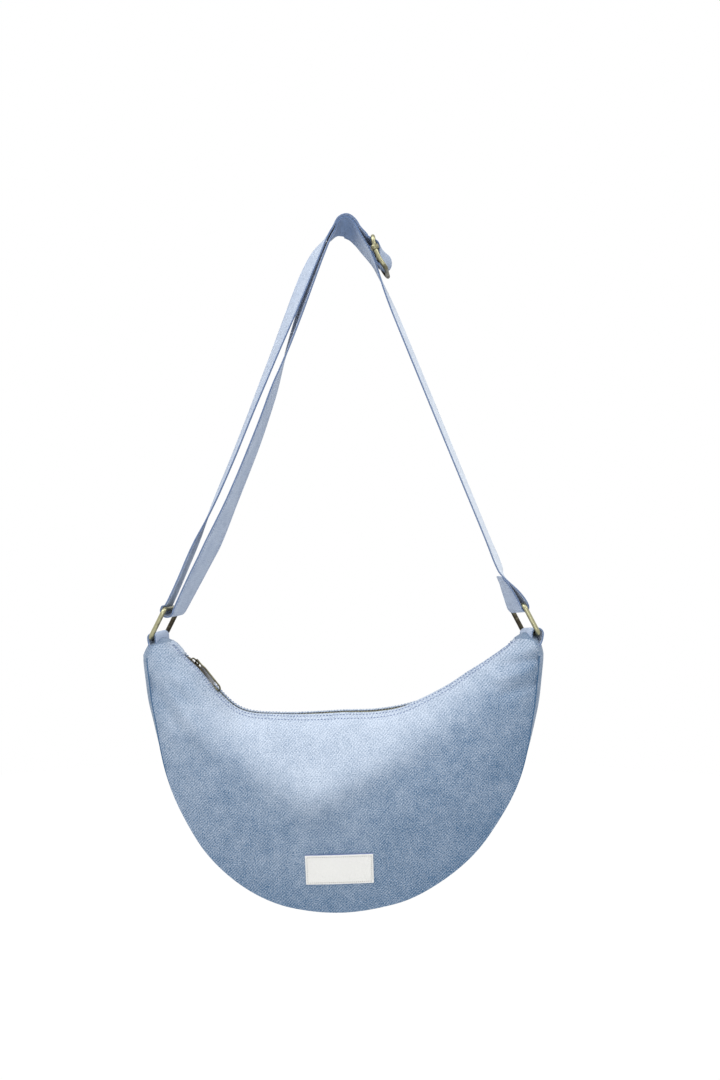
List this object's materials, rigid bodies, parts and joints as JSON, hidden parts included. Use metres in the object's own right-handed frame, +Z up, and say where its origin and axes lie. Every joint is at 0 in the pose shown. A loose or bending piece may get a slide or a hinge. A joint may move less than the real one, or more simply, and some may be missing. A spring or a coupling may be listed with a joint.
{
  "type": "half-moon belt bag",
  "caption": "Half-moon denim bag with a curved top zip, hung from an adjustable webbing strap with metal end rings and a slide adjuster.",
  "frame": {"origin": "underside of the top of the strap's arch, where the strap hangs from its support", "axes": "+X to the right seen from the front, +Y to the back, +Z up along the hanging strap"},
  "size_m": [0.372, 0.1076, 0.6442],
  "materials": {
    "denim": "washed pale blue twill",
    "strap_denim": "washed pale blue twill",
    "lining_cotton": "plain weave",
    "zip_tape": "woven tape",
    "woven_label": "close woven",
    "antique_brass": "aged"
  },
  "bodies": {
    "bag": {"front_panel": "denim", "back_panel": "denim", "base_band": "denim", "lining_front": "lining_cotton", "lining_back": "lining_cotton", "lining_base": "lining_cotton", "label_patch": "woven_label", "zip_teeth_front": "antique_brass", "zip_teeth_back": "antique_brass", "zip_tape_front": "zip_tape", "zip_tape_back": "zip_tape", "zip_stop_left": "antique_brass", "zip_stop_right": "antique_brass", "zip_end_left": "denim", "zip_end_right": "denim", "left_tab": "denim", "right_tab": "denim", "strap_long_run": "strap_denim", "strap_return_run": "strap_denim"},
    "zip_slider": {"zip_slider": "antique_brass", "slider_crown": "antique_brass"},
    "zip_puller": {"zip_puller": "antique_brass"},
    "left_ring": {"left_ring": "antique_brass", "strap_left_turn": "strap_denim"},
    "right_ring": {"right_ring": "antique_brass", "strap_right_loop": "strap_denim"},
    "strap_adjuster": {"adjuster_frame": "antique_brass", "adjuster_bar": "antique_brass", "strap_end_loop": "strap_denim"}
  },
  "joints": [
    {"name": "zip_slide", "type": "hinge", "parent": "bag", "child": "zip_slider", "pos_m": [0, 0, -0.2506], "axis": [0, -1, 0], "range_deg": [0, 83]},
    {"name": "puller_swing", "type": "hinge", "parent": "zip_slider", "child": "zip_puller", "pos_m": [-0.14044, 0, -0.40707], "axis": [0, -1, 0], "range_deg": [0, 160]},
    {"name": "left_ring_swing", "type": "hinge", "parent": "bag", "child": "left_ring", "pos_m": [-0.17597, 0, -0.38692], "axis": [0.1564, 0.9877, 0], "range_deg": [-25, 25], "deforming": ["strap_left_turn"]},
    {"name": "right_ring_swing", "type": "hinge", "parent": "bag", "child": "right_ring", "pos_m": [0.17597, 0, -0.38692], "axis": [-0.1564, 0.9877, 0], "range_deg": [-25, 25], "deforming": ["strap_right_loop"]},
    {"name": "adjuster_slide", "type": "slide", "parent": "bag", "child": "strap_adjuster", "axis": [0.3801, -0.0058, -0.9249], "range_m": [0, 0.2]}
  ]
}
